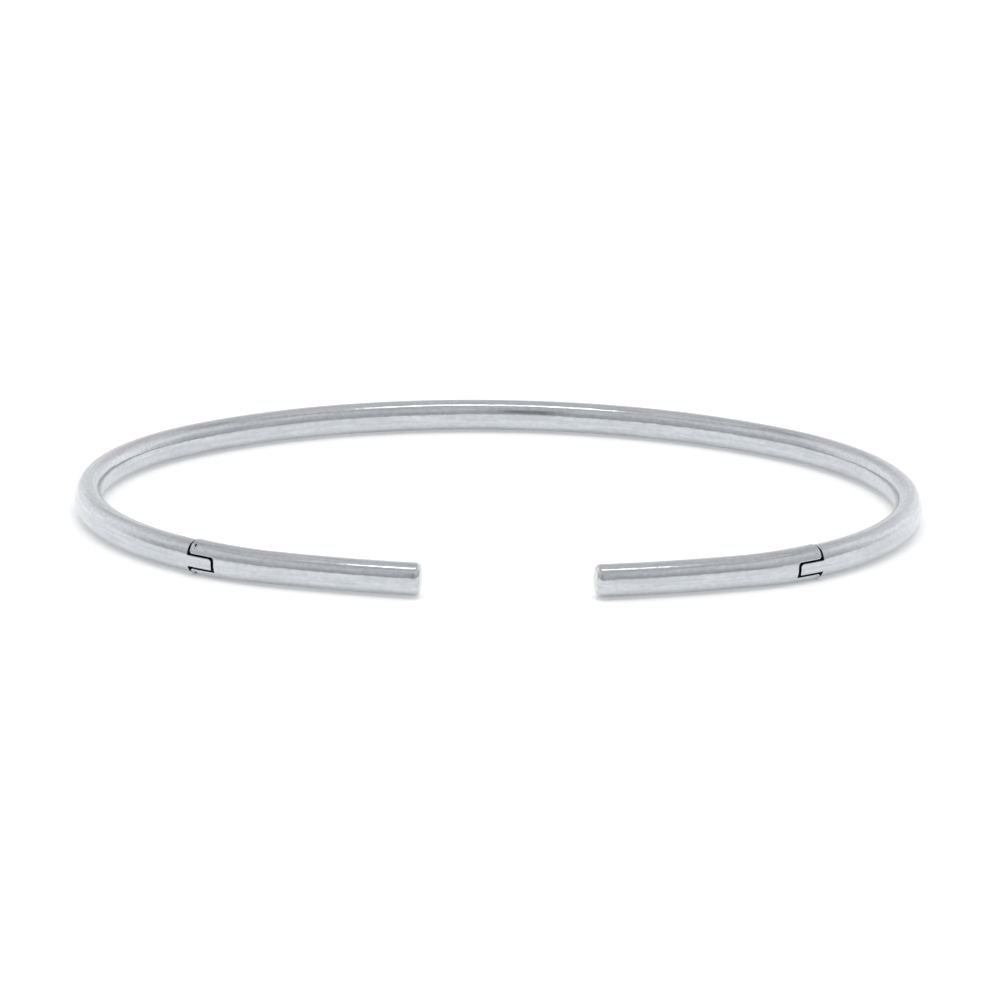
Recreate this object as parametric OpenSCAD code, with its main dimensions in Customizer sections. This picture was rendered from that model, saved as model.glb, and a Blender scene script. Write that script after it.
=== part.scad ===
// Open oval bangle bracelet with two sprung, hinged end pieces.
// Millimetres. +Z is up, the bangle lies flat on Z = 0, the wrist axis is parallel to Z.
// Origin: centre of the bangle's outline, on the surface that it rests on.
// The back of the band is towards +Y and the opening between the tips is towards -Y.

/* [Part] */
// Sub-part to draw, or all of them

/* [Outline] */
// Centre-line radius of the flatter back of the band
back_r = 35; // [32:0.5:38]
// Half of the angle that the back arc spans
back_half_a = 42.5; // [40:0.5:48]
// Centre-line radius of the two sides
side_r = 22.66; // [21:0.01:25]
// Heading of the wire where the hinge seam crosses it, counted from the middle of the back
hinge_a = 141.7; // [138:0.1:146]

/* [Wire] */
// Width of the rounded wire, measured radially
wire_w = 2.0; // [1.8:0.05:2.4]
// Height of the rounded wire
wire_h = 2.4; // [2.2:0.05:3.0]

/* [Tips] */
// Centre-line radius of the bend in the forked piece
bend_r = 18; // [15:0.5:24]
// Length of the forked piece along its centre line
fork_len = 5.5; // [5:0.1:7]
// Height of the forked piece at its ears
ear_h = 2.6; // [2.6:0.05:3.0]
// Centre-line radius of the straighter tip bar
bar_r = 62; // [50:1:90]
// Length of the tip bar along its centre line
bar_len = 11.8; // [9:0.1:14]
// Edge rounding at the free end of the tip bar
end_round = 0.45; // [0.3:0.05:0.6]

/* [Hinge] */
// Length of the soldered hinge block behind the seam
block_len = 3.0; // [2.5:0.1:4]
// Height of the middle tongue
tongue_h = 0.86; // [0.8:0.02:1.0]
// Distance that the tongue sits below the middle of the wire
tongue_drop = 0.15; // [0:0.01:0.2]
// Gap above and below the tongue
side_gap = 0.1; // [0.06:0.01:0.11]
// Gap between the ear ends and the shoulders of the hinge block
seam_gap = 0.14; // [0.1:0.01:0.16]
// Gap left at the stop on the wrist side of the seam
stop_gap = 0.01; // [0.01:0.005:0.02]
// Depth of the slot between the ears
slot_len = 2.1; // [2.06:0.01:2.2]
// Distance from the seam to the pin axis
pin_s = 0.36; // [0.34:0.01:0.38]
// Distance from the centre line outwards to the pin axis
pin_n = 0.66; // [0.62:0.01:0.66]
// Radius of the hinge pin
pin_rad = 0.16; // [0.13:0.01:0.17]
// Radial running clearance of the pin in the tongue
pin_play = 0.02; // [0.01:0.005:0.03]

/* [Spring] */
// Radius of the plunger
plunger_rad = 0.36; // [0.34:0.01:0.37]
// Radial clearance of the plunger in its bore
plunger_play = 0.02; // [0.01:0.005:0.03]
// Plunger travel for each radian of tip opening
cam_rate = 0.65; // [0.6:0.01:0.66]
// Length of the plunger body behind its round nose
plunger_len = 1.3; // [1.2:0.05:1.4]
// Thickness of the spring wire
coil_wire = 0.12; // [0.1:0.01:0.13]
// Number of turns in the spring
coil_turns = 6; // [5:1:7]

/* [Hidden] */
$fn = 96;

silver = [0.80, 0.80, 0.81];
steel = [0.62, 0.64, 0.67];
big = 20;
half_w = wire_w / 2;
wire_c = wire_h / 2 - half_w;
mid_z = ear_h / 2;

// Radii, headings and arc centres of the right half; the left half is its mirror image.
block_a = hinge_a - block_len / side_r * 180 / PI;
bend_a = hinge_a + fork_len / bend_r * 180 / PI;
bar_a = bend_a + (bar_len - end_round) / bar_r * 180 / PI;
function along(a) = [sin(a), cos(a)];
back_rel = [0, -back_r];
side_rel = back_rel + (back_r - side_r) * along(back_half_a);
bend_rel = side_rel + (side_r - bend_r) * along(hinge_a);
bar_rel = bend_rel + (bend_r - bar_r) * along(bend_a);
end_rel = bar_rel + bar_r * along(bar_a);
low_rel = end_rel[1] + (half_w - end_round) * cos(bar_a) - end_round;
back_y = -(half_w + low_rel) / 2;
shift = [0, back_y];
bend_c = bend_rel + shift;
side_p = side_rel + shift + side_r * along(back_half_a);
hinge_p = side_rel + shift + side_r * along(hinge_a);
bend_p = bend_c + bend_r * along(bend_a);
end_p = end_rel + shift;

// Hinge layout in the seam frame: x along the tip, y outwards, z up from mid-height.
slot_z0 = -tongue_drop - tongue_h / 2 - side_gap;
slot_z1 = -tongue_drop + tongue_h / 2 + side_gap;
tongue_z0 = slot_z0 + side_gap;
tongue_z1 = slot_z1 - side_gap;
ear_c = ear_h / 2 - half_w;
ear_tilt = atan((ear_c - wire_c) / fork_len);
web_half = 0.99 * half_w;
ear_round = pin_s + seam_gap - 0.04;
stop_n = -0.45;
corner_r = 0.28;
ear_corner = 0.22;

// Plunger and cam: the cam is the path of the plunger's nose as the tip opens.
nose_s = 1.66;
nose_n = -0.30;
cam_gap = 0.02;
bore_end = 4.9;
function cam_c(t) = [nose_s + cam_rate * t * PI / 180 - pin_s, nose_n - pin_n];
function turn(v, t) = [v[0] * cos(t) - v[1] * sin(t), v[0] * sin(t) + v[1] * cos(t)];
function cam_d(t) = turn([cam_rate - (nose_n - pin_n), cam_c(t)[0]], t);
function unit(v) = v / norm(v);
function cam_n(t) = let (d = unit(cam_d(t))) [-d[1], d[0]];
function cam(t) = turn(cam_c(t), t) + (plunger_rad + cam_gap) * cam_n(t) + [pin_s, pin_n];

// Rounded section of the wire, in the plane across it.
module section(c) {
    translate([0, c]) circle(half_w);
    translate([0, -c]) circle(half_w);
    translate([-web_half, -c]) square([2 * web_half, 2 * c]);
}

// Wire that curves into the frame's origin from behind, over an angle.
module wire_before(r, a) {
    translate([0, -r, 0]) rotate([0, 0, 90])
        rotate_extrude(angle = a) translate([r, 0]) section(wire_c);
}

// Wire that curves away from the frame's origin, over an angle.
module wire_after(r, a) {
    mirror([1, 0, 0]) wire_before(r, a);
}

// Places its children where the back arc meets the side arc.
module at_side() {
    translate([side_p[0], side_p[1], mid_z]) rotate([0, 0, -back_half_a]) children();
}

// Places its children in the seam frame of the right hinge.
module at_seam() {
    translate([hinge_p[0], hinge_p[1], mid_z]) rotate([0, 0, -hinge_a]) children();
}

// Places its children where the fork meets the tip bar.
module at_bend() {
    translate([bend_p[0], bend_p[1], mid_z]) rotate([0, 0, -bend_a]) children();
}

// Square with one rounded corner at its far end, used as a corner cutter.
module corner_cut(r) {
    difference() {
        translate([-r, -r]) square(r + 0.1);
        translate([-r, -r]) circle(r);
    }
}

// Profile across the slot, open towards the seam, with its upper inner corner rounded.
module slot_profile(x0, x1, z0, z1) {
    difference() {
        translate([x0, z0]) square([x1 - x0, z1 - z0]);
        translate([x1, z1]) corner_cut(corner_r);
    }
}

// Upper half of the fork's two converging tubes.
module fork_tube() {
    at_bend() translate([0, 0, wire_c]) rotate([0, ear_tilt, 0])
        translate([0, -bend_r, 0]) rotate([0, 0, 88])
            rotate_extrude(angle = 2 + 3 + bend_a - hinge_a) translate([bend_r, 0]) circle(half_w);
}

// Fork before its slot and bores are cut.
module fork_blank() {
    difference() {
        union() {
            fork_tube();
            translate([0, 0, mid_z]) mirror([0, 0, 1]) translate([0, 0, -mid_z]) fork_tube();
            translate([bend_c[0], bend_c[1], mid_z - wire_c]) rotate([0, 0, 90 - bend_a - 1])
                rotate_extrude(angle = bend_a - hinge_a + 3)
                    translate([bend_r - web_half, 0]) square([2 * web_half, 2 * wire_c]);
        }
        at_seam() translate([-big, -big / 2, -big / 2]) cube(big);
        at_bend() translate([0, -big / 2, -big / 2]) cube(big);
    }
}

// Right half of the band, cut square at the middle of the back.
module band_half() {
    difference() {
        at_side() {
            wire_before(back_r, back_half_a + 2);
            wire_after(side_r, block_a - back_half_a);
        }
        translate([-big, back_y - big, -big / 2]) cube([big, 2 * big, big]);
    }
}

// Band: drawn wire bent to three arcs.
module band() {
    color(silver) union() {
        band_half();
        mirror([1, 0, 0]) band_half();
    }
}

// Hinge block: soldered to the band, with shoulders, a stop and the middle tongue.
module hinge_block() {
    difference() {
        at_seam() {
            wire_before(side_r, hinge_a - block_a);
            wire_after(bend_r, 2.4 / bend_r * 180 / PI);
        }
        at_seam() {
            // Room for the ears above and below the tongue
            translate([-seam_gap, stop_n, tongue_z1]) cube([big, big, big]);
            translate([-seam_gap, stop_n, tongue_z0 - big]) cube([big, big, big]);
            translate([-stop_gap, -big, tongue_z1]) cube([big, 2 * big, big]);
            translate([-stop_gap, -big, tongue_z0 - big]) cube([big, 2 * big, big]);
            // Cam end of the tongue
            translate([0, 0, -big / 2]) linear_extrude(big)
                polygon(concat([[0.95, -2], [1.05, -0.66], [1.18, -0.30]],
                    [for (t = [-2 : 4 : 42]) cam(t)], [[cam(42)[0], 2], [6, 2], [6, -2]]));
            // Rounded upper corner of the tongue
            translate([cam(42)[0], 2, tongue_z1]) rotate([90, 0, 0]) linear_extrude(4)
                corner_cut(corner_r);
            // Running hole for the pin
            translate([pin_s, pin_n, -big / 2]) cylinder(h = big, r = pin_rad + pin_play);
        }
    }
}

// Fork: two ears on the tongue, bored for the pin and for the spring and plunger.
module fork() {
    difference() {
        fork_blank();
        at_seam() {
            translate([0, big / 2, 0]) rotate([90, 0, 0]) linear_extrude(big)
                slot_profile(-1, slot_len, slot_z0, slot_z1);
            // Ear ends rounded about the pin so that they clear the shoulders
            translate([0, 0, -big / 2]) linear_extrude(big) difference() {
                translate([pin_s - 1.5, pin_n]) square([1.5, 1.5]);
                translate([pin_s, pin_n]) circle(ear_round);
            }
            // Small rounding on the ear corners beside the slot
            translate([0, big / 2, slot_z1]) rotate([90, 0, 0]) linear_extrude(big)
                rotate(180) corner_cut(ear_corner);
            translate([0, big / 2, slot_z0]) rotate([90, 0, 0]) linear_extrude(big)
                rotate(90) corner_cut(ear_corner);
            translate([pin_s, pin_n, -big / 2]) cylinder(h = big, r = pin_rad);
            translate([slot_len - 0.3, nose_n, -tongue_drop]) rotate([0, 90, 0])
                cylinder(h = bore_end - slot_len + 0.3, r = plunger_rad + plunger_play);
        }
    }
}

// Tip bar: drawn wire with a rounded free end.
module tip_bar() {
    translate([end_p[0], end_p[1], mid_z]) rotate([0, 0, -bar_a]) union() {
        wire_before(bar_r, bar_a - bend_a);
        translate([0, 0, wire_c]) rotate([0, 90, 0]) rotate([0, 0, 90])
            rotate_extrude(angle = 180) end_profile();
        translate([0, 0, -wire_c]) rotate([0, 90, 0]) rotate([0, 0, -90])
            rotate_extrude(angle = 180) end_profile();
        translate([0, 0, -wire_c]) linear_extrude(2 * wire_c) {
            rotate(90) mirror([0, 1]) end_profile();
            rotate(-90) end_profile();
        }
    }
}

// Half profile of the rounded free end: radius along x, length along y.
module end_profile() {
    difference() {
        square([half_w, end_round]);
        translate([half_w, end_round]) corner_cut(end_round);
    }
}

// Hinge pin: riveted through both ears and polished flush.
module hinge_pin() {
    intersection() {
        fork_blank();
        at_seam() translate([pin_s, pin_n, -big / 2]) cylinder(h = big, r = pin_rad);
    }
}

// Plunger: round nose on the cam, body in the bore, spigot in the spring.
module plunger() {
    at_seam() translate([nose_s, nose_n, -tongue_drop]) rotate([0, 90, 0]) rotate_extrude() {
        intersection() {
            circle(plunger_rad);
            translate([0, -plunger_rad]) square([plunger_rad, plunger_rad]);
        }
        square([plunger_rad, plunger_len]);
        translate([0, plunger_len]) square([0.14, 0.5]);
    }
}

// Compression spring: round wire swept along a helix inside the bore.
coil_s0 = nose_s + plunger_len + coil_wire / 2 + 0.01;
coil_s1 = bore_end - coil_wire / 2 - 0.01;
coil_mean = plunger_rad - 0.01 - coil_wire / 2;
coil_n = 24 * coil_turns;
coil_m = 8;
function coil_pt(i, j) = let (
    a = i * 360 / 24, b = j * 360 / coil_m,
    rr = coil_mean + coil_wire / 2 * cos(b),
    x = coil_s0 + (coil_s1 - coil_s0) * i / coil_n + coil_wire / 2 * sin(b))
    [x, rr * cos(a), rr * sin(a)];
module spring() {
    at_seam() translate([0, nose_n, -tongue_drop]) polyhedron(
        points = [for (i = [0 : coil_n]) for (j = [0 : coil_m - 1]) coil_pt(i, j)],
        faces = concat(
            [[for (j = [0 : coil_m - 1]) j]],
            [[for (j = [0 : coil_m - 1]) coil_n * coil_m + coil_m - 1 - j]],
            [for (i = [0 : coil_n - 1]) for (j = [0 : coil_m - 1])
                [i * coil_m + j, (i + 1) * coil_m + j,
                    (i + 1) * coil_m + (j + 1) % coil_m, i * coil_m + (j + 1) % coil_m]]));
}

module right_hinge_block() { color(silver) hinge_block(); }
module left_hinge_block() { color(silver) mirror([1, 0, 0]) hinge_block(); }
module right_fork() { color(silver) fork(); }
module left_fork() { color(silver) mirror([1, 0, 0]) fork(); }
module right_tip_bar() { color(silver) tip_bar(); }
module left_tip_bar() { color(silver) mirror([1, 0, 0]) tip_bar(); }
module right_hinge_pin() { color(steel) hinge_pin(); }
module left_hinge_pin() { color(steel) mirror([1, 0, 0]) hinge_pin(); }
module right_plunger() { color(steel) plunger(); }
module left_plunger() { color(steel) mirror([1, 0, 0]) plunger(); }
module right_spring() { color(steel) spring(); }
module left_spring() { color(steel) mirror([1, 0, 0]) spring(); }

band();
left_hinge_block();
right_hinge_block();
left_fork();
right_fork();
left_tip_bar();
right_tip_bar();
left_hinge_pin();
right_hinge_pin();
left_plunger();
right_plunger();
left_spring();
right_spring();
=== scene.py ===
"""Open oval bangle of polished rounded silver wire with two sprung, hinged end pieces.

Lengths in the classes are millimetres, in the model's own frame: +Z up, the bangle flat on Z = 0,
the back of the band towards +Y and the opening towards -Y. Meshes are made in metres.
"""

import logging
import math
from collections.abc import Callable, Sequence
from dataclasses import dataclass, field
from enum import Enum

import bmesh
import bpy
import numpy as np
from mathutils import Matrix, Vector


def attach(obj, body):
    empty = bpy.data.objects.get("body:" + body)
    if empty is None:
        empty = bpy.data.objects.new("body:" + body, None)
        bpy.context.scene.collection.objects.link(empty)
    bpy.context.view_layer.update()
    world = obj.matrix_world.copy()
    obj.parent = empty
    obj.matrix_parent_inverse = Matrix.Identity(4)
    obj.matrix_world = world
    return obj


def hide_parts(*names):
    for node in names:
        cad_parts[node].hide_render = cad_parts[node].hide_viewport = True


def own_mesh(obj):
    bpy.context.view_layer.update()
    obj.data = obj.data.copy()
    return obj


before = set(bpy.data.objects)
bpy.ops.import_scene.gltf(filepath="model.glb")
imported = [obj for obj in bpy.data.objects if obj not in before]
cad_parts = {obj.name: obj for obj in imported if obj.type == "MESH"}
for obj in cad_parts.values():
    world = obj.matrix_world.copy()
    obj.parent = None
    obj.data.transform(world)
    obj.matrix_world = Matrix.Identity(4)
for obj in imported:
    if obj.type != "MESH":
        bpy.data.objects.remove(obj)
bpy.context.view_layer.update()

# Metres in a millimetre.
MM = 0.001
# Points nearer than this, in millimetres, are welded.
WELD = 2e-4
# Points round the wire, and slack in radians and millimetres when a point is given its arc.
AROUND = 72
ARC_SLACK = (1e-4, 0.05, 2.0)
# Edges between faces turned by more than these angles are eased, and shaded as creases.
EASED = math.radians(38)
CREASE = math.radians(32)
# Height in metres that a bump of 1 stands for.
BUMP_HEIGHT = 1e-4
log = logging.getLogger("bangle")

Grid = np.ndarray
Piece = bpy.types.Object


class Side(Enum):
    """Which half of the bangle a piece belongs to; the value is the sign of its X."""

    LEFT = -1
    RIGHT = 1

    @property
    def word(self) -> str:
        """Prefix of the piece's name."""
        return self.name.lower()


@dataclass(frozen=True)
class Arc:
    """One arc of the wire's centre line, from one heading to another, in radians from the back."""

    centre: tuple[float, float]
    radius: float
    start: float
    end: float

    @property
    def length(self) -> float:
        """Length of the centre line along the arc."""
        return self.radius * (self.end - self.start)


@dataclass(frozen=True)
class Outline:
    """Centre line of the right half of the bangle, four arcs that meet with a common tangent."""

    back_r: float = 35.0
    back_half_a: float = math.radians(42.5)
    side_r: float = 22.66
    hinge_a: float = math.radians(141.7)
    bend_r: float = 18.0
    fork_len: float = 5.5
    bar_r: float = 62.0
    bar_len: float = 11.8
    end_round: float = 0.45
    half_w: float = 1.0
    mid_z: float = 1.3

    @property
    def bend_a(self) -> float:
        """Heading where the fork meets the tip bar."""
        return self.hinge_a + self.fork_len / self.bend_r

    @property
    def bar_a(self) -> float:
        """Heading where the tip bar's end rounding begins."""
        return self.bend_a + (self.bar_len - self.end_round) / self.bar_r

    def arcs(self) -> list[Arc]:
        """Works out the arcs' centres.

        Each centre lies on the line through the last centre at the shared heading:
        centre += (old radius - new radius) * (sin a, cos a). The whole outline is then moved in Y
        so that its depth is centred on the origin.

        Returns:
            The back, side, bend and bar arcs, in order.
        """
        radii = [self.back_r, self.side_r, self.bend_r, self.bar_r]
        headings = [0.0, self.back_half_a, self.hinge_a, self.bend_a, self.bar_a]
        centre = np.array([0.0, -self.back_r])
        centres = [centre]
        for last, new, a in zip(radii, radii[1:], headings[1:]):
            centre = centre + (last - new) * np.array([math.sin(a), math.cos(a)])
            centres.append(centre)
        low = centre[1] + (self.bar_r + self.half_w - self.end_round) * math.cos(self.bar_a)
        rise = -(self.half_w + low - self.end_round) / 2
        return [Arc((c[0], c[1] + rise), r, a, b)
                for c, r, a, b in zip(centres, radii, headings, headings[1:])]

    def hinge(self) -> Vector:
        """Point of the centre line where the hinge seam crosses it."""
        side = self.arcs()[1]
        return Vector((side.centre[0] + side.radius * math.sin(self.hinge_a),
                       side.centre[1] + side.radius * math.cos(self.hinge_a), self.mid_z))


def carry(arc: Arc, heading: Grid, out: Grid, up: Grid, mid_z: float) -> Grid:
    """Carries points across the wire to their place on an arc.

    A point is centre + (radius + out) * (sin heading, cos heading), at the height mid_z + up.

    Args:
        arc: Arc that the points lie on.
        heading: Heading of each point.
        out: Distance of each point outwards from the centre line.
        up: Height of each point above the wire's middle.
        mid_z: Height of the wire's middle.

    Returns:
        The points, in an array one dimension longer than the arguments.
    """
    heading, out, up = np.broadcast_arrays(heading, out, up)
    reach = arc.radius + out
    return np.stack([arc.centre[0] + reach * np.sin(heading),
                     arc.centre[1] + reach * np.cos(heading), mid_z + up], axis=-1)


@dataclass(frozen=True)
class Section:
    """Rounded section of the wire: |out / half_w|^power + |up / half_h|^power = 1."""

    half_w: float = 1.0
    half_h: float = 1.2
    power: float = 2.3

    def at_angle(self, angle: Grid, half_h: Grid | None = None) -> tuple[Grid, Grid]:
        """Points of the section in given directions from its middle.

        The distance is (|cos / half_w|^power + |sin / half_h|^power)^(-1 / power).

        Args:
            angle: Directions, 0 outwards and a quarter turn up.
            half_h: Half heights where they vary along the wire.

        Returns:
            The distances outwards and upwards.
        """
        tall = self.half_h if half_h is None else half_h
        c, s = np.cos(angle), np.sin(angle)
        reach = (np.abs(c / self.half_w) ** self.power
                 + np.abs(s / tall) ** self.power) ** (-1 / self.power)
        return reach * c, reach * s

    def half_width(self, up: Grid, half_h: Grid | None = None) -> Grid:
        """Half width at a height: half_w * (1 - |up / half_h|^power)^(1 / power)."""
        tall = self.half_h if half_h is None else half_h
        share = np.clip(1 - np.abs(up / tall) ** self.power, 0, 1)
        return self.half_w * share ** (1 / self.power)

    def angle_at(self, up: Grid, half_h: Grid | None = None) -> Grid:
        """Direction from the middle to the outer side at a height: atan2(up, half width)."""
        return np.arctan2(up, self.half_width(up, half_h))


def fill(patches: Sequence[Grid]) -> bmesh.types.BMesh:
    """Joins grids of points into one closed mesh with its faces outwards.

    Args:
        patches: Arrays of rows x columns x 3, whose shared borders hold the same points.

    Returns:
        The welded mesh, in the units of the patches.
    """
    points = np.concatenate([p.reshape(-1, 3) for p in patches])
    quads, base = [], 0
    for patch in patches:
        rows, columns = patch.shape[:2]
        i = base + np.arange(rows * columns).reshape(rows, columns)
        quads.append(np.stack([i[:-1, :-1], i[1:, :-1], i[1:, 1:], i[:-1, 1:]], -1).reshape(-1, 4))
        base += rows * columns
    mesh = bpy.data.meshes.new("grids")
    mesh.from_pydata(points, [], np.concatenate(quads))
    work = bmesh.new()
    work.from_mesh(mesh)
    bpy.data.meshes.remove(mesh)
    bmesh.ops.remove_doubles(work, verts=work.verts, dist=WELD)
    bmesh.ops.dissolve_degenerate(work, dist=WELD / 4, edges=work.edges)
    bmesh.ops.recalc_face_normals(work, faces=work.faces)
    return work


def ease_edges(work: bmesh.types.BMesh, wanted: Callable[[Vector], bool]) -> None:
    """Marks sharp edges for the Bevel modifier.

    Args:
        work: Mesh to mark.
        wanted: Says whether an edge with this middle point is to be eased.
    """
    layer = work.edges.layers.float.new("bevel_weight_edge")
    for edge in work.edges:
        if len(edge.link_faces) == 2 and edge.calc_face_angle(0.0) > EASED:
            edge[layer] = float(wanted((edge.verts[0].co + edge.verts[1].co) / 2))


def stand_up(name: str, work: bmesh.types.BMesh) -> Piece:
    """Turns a welded mesh into a linked object, still in its own frame and unit."""
    mesh = bpy.data.meshes.new(name)
    work.to_mesh(mesh)
    work.free()
    made = bpy.data.objects.new(name, mesh)
    bpy.context.scene.collection.objects.link(made)
    return made


def make_piece(name: str, work: bmesh.types.BMesh, place: Matrix,
               ease: float = 0.0, cutters: Sequence[Piece] = ()) -> Piece:
    """Turns a welded mesh into a finished object at the origin, in metres.

    The edges are eased and the bores cut in the mesh's own frame, so both sides come out alike.

    Args:
        name: Name of the piece.
        work: Welded mesh in millimetres, in the frame that place starts from.
        place: Matrix from the mesh's frame to the model's frame, in millimetres.
        ease: Width of the easing on the marked edges, in millimetres.
        cutters: Objects in the same frame to be taken away; they are removed afterwards.

    Returns:
        The object, linked to the scene.
    """
    piece = stand_up(name, work)
    if ease:
        bevel = piece.modifiers.new("eased edges", "BEVEL")
        bevel.limit_method, bevel.width, bevel.segments = "WEIGHT", ease, 2
        bevel.use_clamp_overlap = False
    for cutter in cutters:
        cut = piece.modifiers.new("bore", "BOOLEAN")
        cut.operation, cut.object, cut.solver = "DIFFERENCE", cutter, "EXACT"
    if piece.modifiers:
        graph = bpy.context.evaluated_depsgraph_get()
        rough = piece.data
        piece.data = bpy.data.meshes.new_from_object(piece.evaluated_get(graph))
        piece.modifiers.clear()
        bpy.data.meshes.remove(rough)
        piece.data.name = name
        for cutter in cutters:
            bpy.data.objects.remove(cutter)
    piece.data.transform(Matrix.Scale(MM, 4) @ place)
    if place.determinant() < 0:
        piece.data.flip_normals()
    piece.data.shade_smooth()
    piece.data.set_sharp_from_angle(angle=CREASE)
    return piece


def middles(mesh: bpy.types.Mesh) -> Grid:
    """Middle points of a mesh's faces, as rows in millimetres."""
    rows = np.empty(len(mesh.polygons) * 3, np.float32)
    mesh.polygons.foreach_get("center", rows)
    return rows.reshape(-1, 3) / MM


def cap(ring: Grid, rows: int = 6) -> Grid:
    """Flat lid on a closed ring of points: ring * (1 - t) + middle * t."""
    t = np.linspace(0, 1, rows)[:, None, None]
    return ring[None] * (1 - t) + ring[:-1].mean(axis=0) * t


class Sock:
    """One output socket; arithmetic on it adds Math nodes to its tree."""

    def __init__(self, tree: bpy.types.NodeTree, link: bpy.types.NodeSocket) -> None:
        """Keeps the tree and the socket."""
        self.tree, self.link = tree, link

    def maths(self, operation: str, a: "Sock | float", b: "Sock | float" = 0.0) -> "Sock":
        """Adds one Math node and returns its output."""
        return add_node(self.tree, "ShaderNodeMath", {"operation": operation}, {0: a, 1: b})

    def __add__(self, other: "Sock | float") -> "Sock":
        """Sum of the two."""
        return self.maths("ADD", self, other)

    def __sub__(self, other: "Sock | float") -> "Sock":
        """This less the other."""
        return self.maths("SUBTRACT", self, other)

    def __rsub__(self, other: float) -> "Sock":
        """The other less this."""
        return self.maths("SUBTRACT", other, self)

    def __mul__(self, other: "Sock | float") -> "Sock":
        """Product of the two."""
        return self.maths("MULTIPLY", self, other)

    __radd__ = __add__
    __rmul__ = __mul__


def add_node(tree: bpy.types.NodeTree, kind: str, settings: dict[str, object] | None = None,
             sockets: dict[int | str, object] | None = None, output: int | str = 0) -> Sock:
    """Adds a node, sets it up and joins its inputs.

    Args:
        tree: Tree that gets the node.
        kind: Node type.
        settings: Attributes to set before the sockets.
        sockets: Value or Sock for each input.
        output: Which output to return.

    Returns:
        The chosen output.
    """
    node = tree.nodes.new(kind)
    for name, value in (settings or {}).items():
        setattr(node, name, value)
    for key, value in (sockets or {}).items():
        if isinstance(value, Sock):
            tree.links.new(value.link, node.inputs[key])
        else:
            node.inputs[key].default_value = value
    return Sock(tree, node.outputs[output])


def step(value: Sock, low: float, high: float) -> Sock:
    """Smooth step from 0 at low to 1 at high."""
    return add_node(value.tree, "ShaderNodeMapRange", {"interpolation_type": "SMOOTHSTEP"},
                    {"Value": value, "From Min": low, "From Max": high})


@dataclass(frozen=True)
class Finish:
    """A metal finish: colour, gloss, polish lines along the wire, fine scratches, smudges and a
    band of painted shade at mid height.
    """

    name: str
    light: tuple[float, float, float]
    dark: tuple[float, float, float]
    roughness: float
    spread: float
    line_depth: float
    ripple_depth: float
    painted_mid_shade: float = 0.0
    painted_mid_shade_up: float = 0.05
    painted_mid_shade_edge: tuple[float, float] = (0.15, 0.75)

    def noise(self, place: Sock, scale: tuple[float, float, float],
              detail: float = 3.0, turn: float = 0.0) -> Sock:
        """Noise in a stretched and turned copy of the coordinates, 0 to 1."""
        tree = place.tree
        moved = add_node(tree, "ShaderNodeMapping", {"vector_type": "POINT"},
                         {"Vector": place, "Scale": scale, "Rotation": (0.0, turn / 3, turn)})
        return add_node(tree, "ShaderNodeTexNoise", {},
                        {"Vector": moved, "Scale": 1.0, "Detail": detail, "Roughness": 0.55})

    def material(self) -> bpy.types.Material:
        """Builds the material's nodes.

        Roughness = base + spread * (smudges + lines + scratches); the bump adds long polish
        lines along the wire and a faint ripple left by hand polishing. The colour goes from light
        to dark by streaks along the wire and mottling, and a band around mid height is painted
        darker as shade, which dims the floor's reflection there:
        painted_mid_shade * (1 - step(|up - painted_mid_shade_up|)). Patterns along the wire are
        scaled per millimetre, the others per metre.

        Returns:
            The material.
        """
        made = bpy.data.materials.new(self.name)
        made.use_nodes = True
        tree = made.node_tree
        tree.nodes.clear()
        wire = add_node(tree, "ShaderNodeAttribute", {"attribute_name": "grain"}, {}, "Vector")
        space = add_node(tree, "ShaderNodeTexCoord", {}, {}, "Object")
        smudge = step(self.noise(space, (210.0, 210.0, 420.0)), 0.42, 0.68)
        lines = self.noise(wire, (0.6, 26.0, 26.0))
        scratch_a = step(self.noise(space, (9000.0, 420.0, 900.0), 1.0, 0.9), 0.66, 0.74)
        scratch_b = step(self.noise(space, (500.0, 8000.0, 1200.0), 1.0, 0.5), 0.67, 0.75)
        ripple = self.noise(wire, (0.55, 1.1, 1.1), 1.0)
        streak = step(self.noise(wire, (0.20, 4.2, 4.2)), 0.36, 0.64)
        mottle = step(self.noise(wire, (2.4, 3.6, 3.6)), 0.32, 0.68)
        up = add_node(tree, "ShaderNodeSeparateXYZ", {}, {0: wire}, 2)
        # Painted shade: the colour darkens in a band round the wire's mid height, dimming the
        # floor's reflection there.
        off = up - self.painted_mid_shade_up
        painted_mid_mask = 1.0 - step(off.maths("ABSOLUTE", off), *self.painted_mid_shade_edge)
        wear = smudge * 0.5 + lines * 0.5 + scratch_a * 0.6 + scratch_b * 0.6
        roughness = self.roughness + self.spread * wear
        tint = add_node(tree, "ShaderNodeMix", {"data_type": "RGBA"},
                        {0: streak * 0.44 + mottle * 0.36 + smudge * 0.10 + painted_mid_mask * self.painted_mid_shade,
                         6: (*self.light, 1.0), 7: (*self.dark, 1.0)}, 2)
        height = (lines * self.line_depth + ripple * self.ripple_depth
                  + mottle * (self.ripple_depth * 0.12) - scratch_a * (self.line_depth * 0.8))
        bump = add_node(tree, "ShaderNodeBump", {},
                        {"Height": height, "Strength": 1.0, "Distance": BUMP_HEIGHT})
        shader = add_node(tree, "ShaderNodeBsdfPrincipled", {},
                          {"Base Color": tint, "Metallic": 1.0, "Roughness": roughness,
                           "Normal": bump})
        add_node_output(tree, shader)
        return made


def add_node_output(tree: bpy.types.NodeTree, shader: Sock) -> None:
    """Joins a shader to the tree's material output."""
    node = tree.nodes.new("ShaderNodeOutputMaterial")
    tree.links.new(shader.link, node.inputs["Surface"])


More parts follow.
